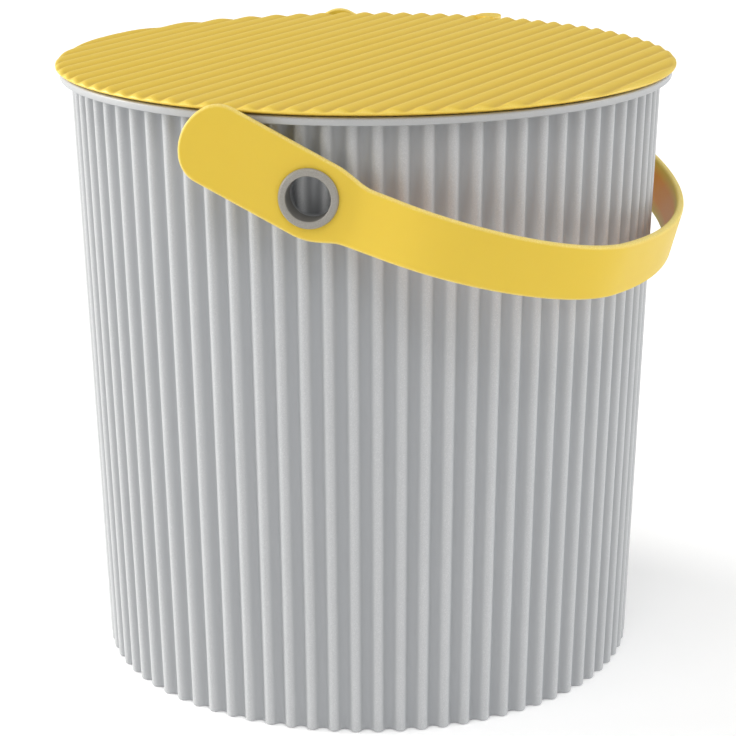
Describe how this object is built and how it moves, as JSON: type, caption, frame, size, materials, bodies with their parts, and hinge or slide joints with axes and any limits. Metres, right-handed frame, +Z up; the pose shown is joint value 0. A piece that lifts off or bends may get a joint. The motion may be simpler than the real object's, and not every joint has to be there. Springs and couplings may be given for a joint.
{
  "type": "lidded bucket",
  "caption": "Round tapered household bucket with an upright ribbed wall, a ribbed lift-off plate lid with a finger tab, and a flat strap handle that swings on hollow pivot collars.",
  "frame": {"origin": "middle of the foot ring, on the plane the bucket stands on", "axes": "+Z up along the bucket's axis; the handle pivots about a line along Y and rests on the +X side"},
  "size_m": [0.2652, 0.2788, 0.2591],
  "materials": {
    "bucket_grey": "moulded, soft sheen",
    "lid_yellow": "moulded, soft sheen",
    "handle_yellow": "moulded, soft sheen",
    "collar_grey": "moulded, soft sheen"
  },
  "bodies": {
    "bucket_body": {"bucket": "bucket_grey", "pivot_collar_front": "collar_grey", "pivot_collar_back": "collar_grey"},
    "lid_body": {"lid": "lid_yellow"},
    "handle_body": {"handle": "handle_yellow"}
  },
  "joints": [
    {"name": "handle_swing", "type": "hinge", "parent": "bucket_body", "child": "handle_body", "pos_m": [0, 0, 0.225], "axis": [0, -1, 0], "range_deg": [0, 210]},
    {"name": "lid_lift", "type": "slide", "parent": "bucket_body", "child": "lid_body", "axis": [0, 0, 1], "range_m": [0, 0.06]}
  ]
}
